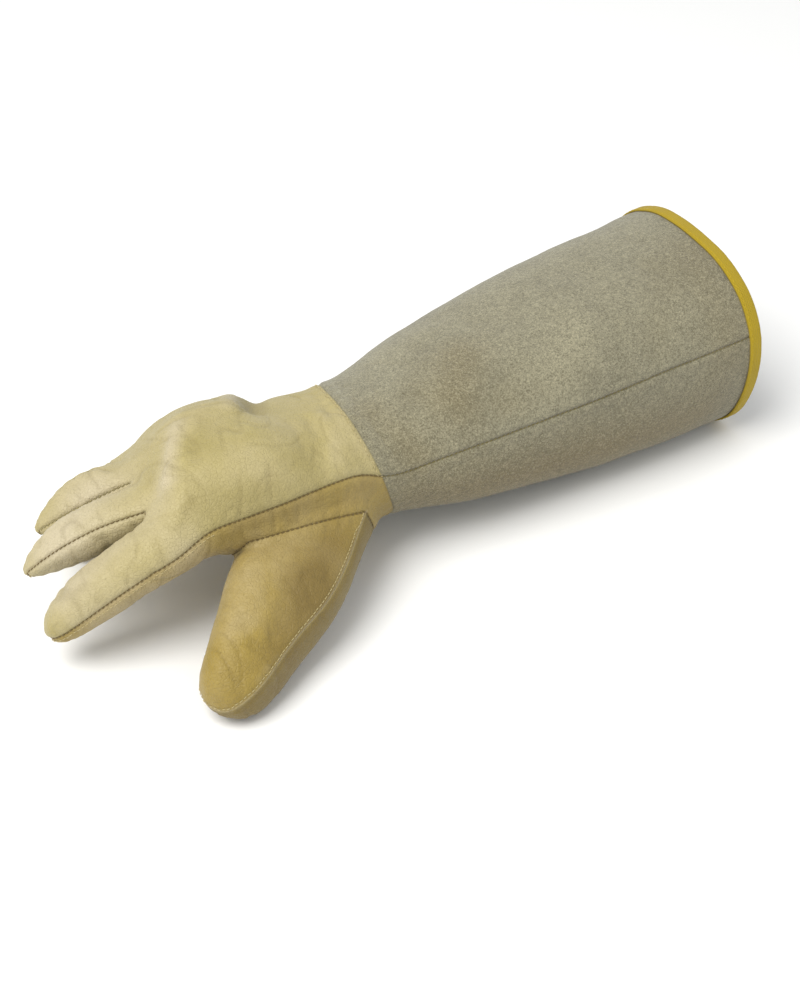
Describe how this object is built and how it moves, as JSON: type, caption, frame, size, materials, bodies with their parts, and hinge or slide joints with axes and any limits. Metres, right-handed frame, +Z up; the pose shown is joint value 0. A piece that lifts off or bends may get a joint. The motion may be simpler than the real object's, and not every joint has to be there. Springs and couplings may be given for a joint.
{
  "type": "tig welding gauntlet",
  "caption": "Long leather welding glove for the right hand with split leather cuff and bound mouth, lying palm down.",
  "frame": {"origin": "middle of the glove's footprint, on the surface it lies on", "axes": "+X towards the mouth of the cuff, along the glove's length; -Y towards the thumb; +Z up, the side of the back of the hand"},
  "size_m": [0.3756, 0.1578, 0.1005],
  "materials": {
    "grain_leather": "matt grain leather",
    "thumb_leather": "matt grain leather, more golden",
    "split_leather": "brushed split leather, fibrous",
    "binding_tape": "woven tape"
  },
  "bodies": {
    "root": {"hand_back": "grain_leather", "hand_palm": "grain_leather", "fourchette_index_middle": "grain_leather", "fourchette_middle_ring": "grain_leather", "fourchette_ring_little": "grain_leather", "thumb_outer": "thumb_leather", "thumb_inner": "thumb_leather", "cuff_back": "split_leather", "cuff_palm": "split_leather", "cuff_binding": "binding_tape"}
  },
  "joints": []
}
